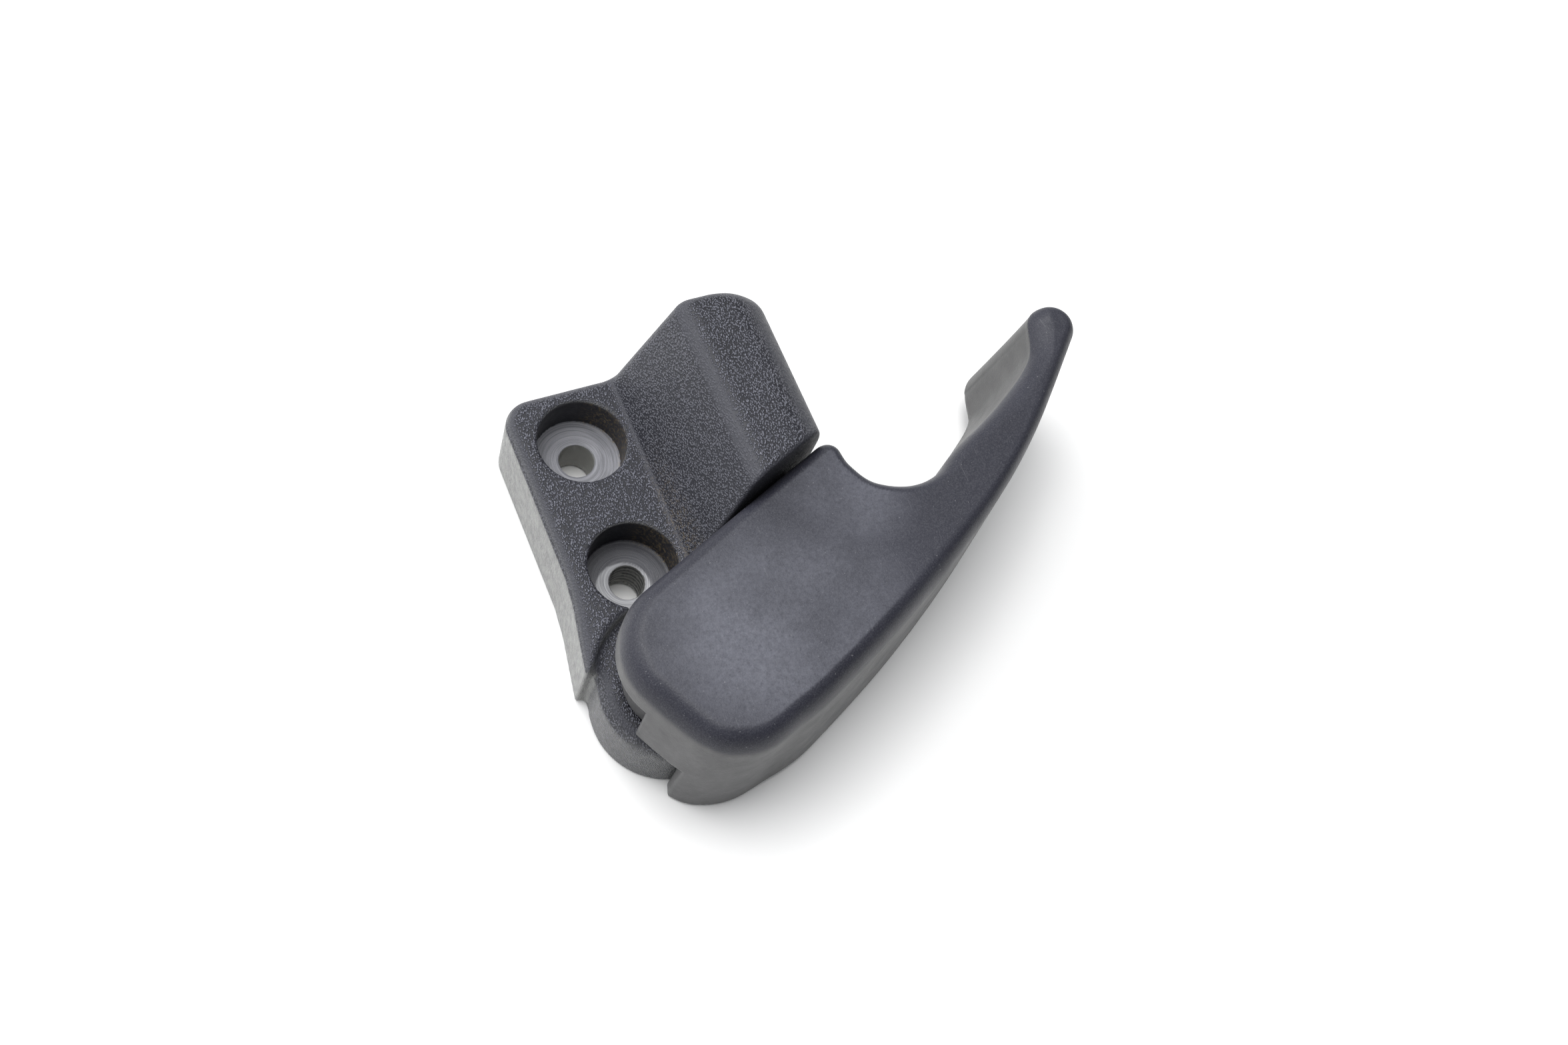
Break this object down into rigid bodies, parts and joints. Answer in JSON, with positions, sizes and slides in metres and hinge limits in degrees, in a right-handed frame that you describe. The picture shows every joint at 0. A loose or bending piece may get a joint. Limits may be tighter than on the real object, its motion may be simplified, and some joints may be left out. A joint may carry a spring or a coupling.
{
  "type": "hook-shaped pull handle on a bearing bracket",
  "caption": "Hook-shaped pull lever that turns about a vertical pin in a screw-down bracket, sprung back to a rest pad, with a cable anchor beneath.",
  "frame": {"origin": "middle of the line between the two screw holes, on the mounting face", "axes": "+Z out of the surface it is screwed to, +Y along the flange towards its far end, +X towards the hook's tip"},
  "size_m": [0.1077, 0.0774, 0.039],
  "materials": {
    "grained_plastic": "leather-grained moulded black plastic, slightly blue",
    "smooth_plastic": "smooth fine-matte charcoal plastic with hazy wear",
    "acetal": "natural acetal, satin",
    "pin_steel": "turned and zinc-plated",
    "spring_steel": "oiled wire and stampings",
    "zinc_alloy": "as cast",
    "rubber": "soft matte black rubber"
  },
  "bodies": {
    "bracket": {"bearing_bracket": "grained_plastic", "upper_pivot_bush": "acetal", "lower_pivot_bush": "acetal", "return_spring": "spring_steel", "rest_bumper": "rubber"},
    "lever": {"pull_lever": "smooth_plastic", "pivot_pin": "pin_steel", "pin_washer": "pin_steel", "pin_retaining_ring": "spring_steel"},
    "barrel": {"cable_barrel": "zinc_alloy"}
  },
  "joints": [
    {"name": "lever_pull", "type": "hinge", "parent": "bracket", "child": "lever", "pos_m": [0, -0.0339, 0.014], "axis": [0, 0, 1], "range_deg": [-45, 0], "stiffness_Nm_per_rad": 0.15, "springref_deg": 20.05, "deforming": ["return_spring"]},
    {"name": "barrel_swivel", "type": "hinge", "parent": "lever", "child": "barrel", "pos_m": [0.0205, -0.0319, 0.006], "axis": [0, 0, 1], "range_deg": [0, 45]}
  ],
  "couplings": [
    {"joint": "barrel_swivel", "follows": "lever_pull", "ratio": -1}
  ]
}
